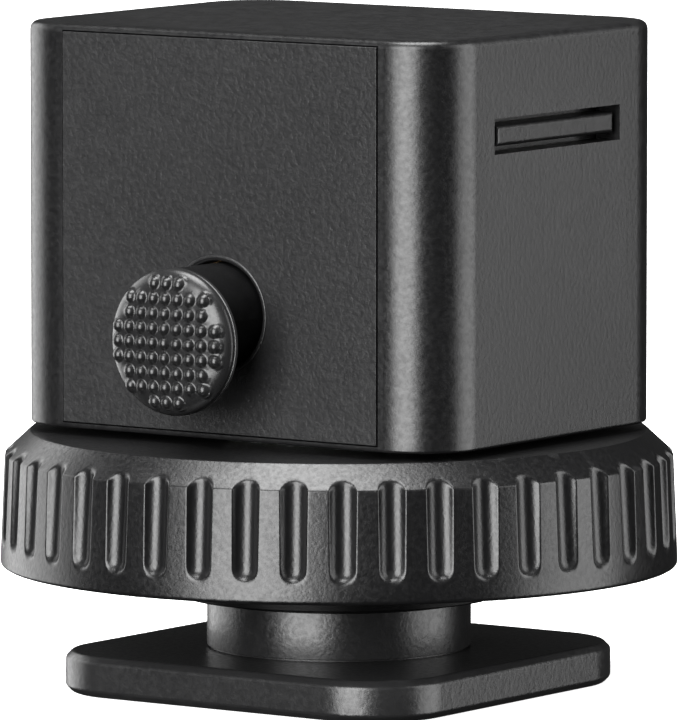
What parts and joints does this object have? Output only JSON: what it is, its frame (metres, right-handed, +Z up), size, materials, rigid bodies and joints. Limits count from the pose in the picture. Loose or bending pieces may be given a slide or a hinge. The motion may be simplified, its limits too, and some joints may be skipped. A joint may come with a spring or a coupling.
{
  "type": "umbrella swivel bracket",
  "caption": "Compact swivel head on a fluted locking wheel and square accessory-shoe foot, with a sprung release button and an umbrella shaft socket.",
  "frame": {"origin": "centre of the shoe foot's underside, on the swivel axis", "axes": "+Z up along the swivel axis, -Y out of the button face, +Y out of the umbrella socket, +X out of one snap window"},
  "size_m": [0.0286, 0.0286, 0.0282],
  "materials": {
    "shell_plastic": "fine moulded grain, matte black",
    "panel_plastic": "fine moulded grain, matte black",
    "wheel_plastic": "fine moulded grain, matte black",
    "foot_plastic": "fine moulded grain, matte black",
    "frame_plastic": "moulded, satin black",
    "slip_plastic": "smooth white acetal",
    "button_plastic": "smooth satin black",
    "cap_rubber": "moulded rubber, slightly shiny",
    "ring_rubber": "smooth nitrile rubber",
    "washer_steel": "black coated steel",
    "stem_steel": "turned steel",
    "slide_steel": "stamped steel",
    "fastener_steel": "black oxide",
    "spring_steel": "drawn spring wire",
    "insert_brass": "turned brass",
    "bush_bronze": "sintered bronze",
    "sleeve_aluminium": "black anodised"
  },
  "bodies": {
    "foot": {"foot_plate": "foot_plastic", "foot_screw": "fastener_steel", "pivot_stem": "stem_steel", "stem_key_pin": "fastener_steel", "swivel_o_ring": "ring_rubber", "thrust_washer": "slip_plastic"},
    "clamp": {"clamp_washer": "washer_steel", "washer_snap_ring": "spring_steel"},
    "wheel": {"lock_wheel": "wheel_plastic", "thread_insert": "insert_brass"},
    "head": {"outer_shell": "shell_plastic", "face_plate": "panel_plastic", "face_plate_clips": "spring_steel", "inner_frame": "frame_plastic", "base_plate": "frame_plastic", "base_screws": "fastener_steel", "dowel_pins": "fastener_steel", "swivel_bush": "bush_bronze", "umbrella_sleeve": "sleeve_aluminium", "grip_o_rings": "ring_rubber", "button_bush": "bush_bronze", "return_springs": "spring_steel"},
    "button": {"lock_slide": "slide_steel", "button_stem": "button_plastic", "stem_screw": "fastener_steel", "thumb_cap": "cap_rubber"}
  },
  "joints": [
    {"name": "clamp_travel", "type": "slide", "parent": "foot", "child": "clamp", "axis": [0, 0, 1], "range_m": [-0.0018, 0]},
    {"name": "wheel_turn", "type": "hinge", "parent": "clamp", "child": "wheel", "pos_m": [0, 0, 0.0082], "axis": [0, 0, 1], "range_deg": [-648, 0]},
    {"name": "head_turn", "type": "hinge", "parent": "foot", "child": "head", "pos_m": [0, 0, 0.01285], "axis": [0, 0, 1], "continuous": true},
    {"name": "button_press", "type": "slide", "parent": "head", "child": "button", "axis": [0, 1, 0], "range_m": [0, 0.0012], "stiffness_N_per_m": 400, "springref_m": -0.002, "deforming": ["return_springs"]}
  ],
  "couplings": [
    {"joint": "wheel_turn", "follows": "clamp_travel", "rad_per_m": 6283}
  ]
}
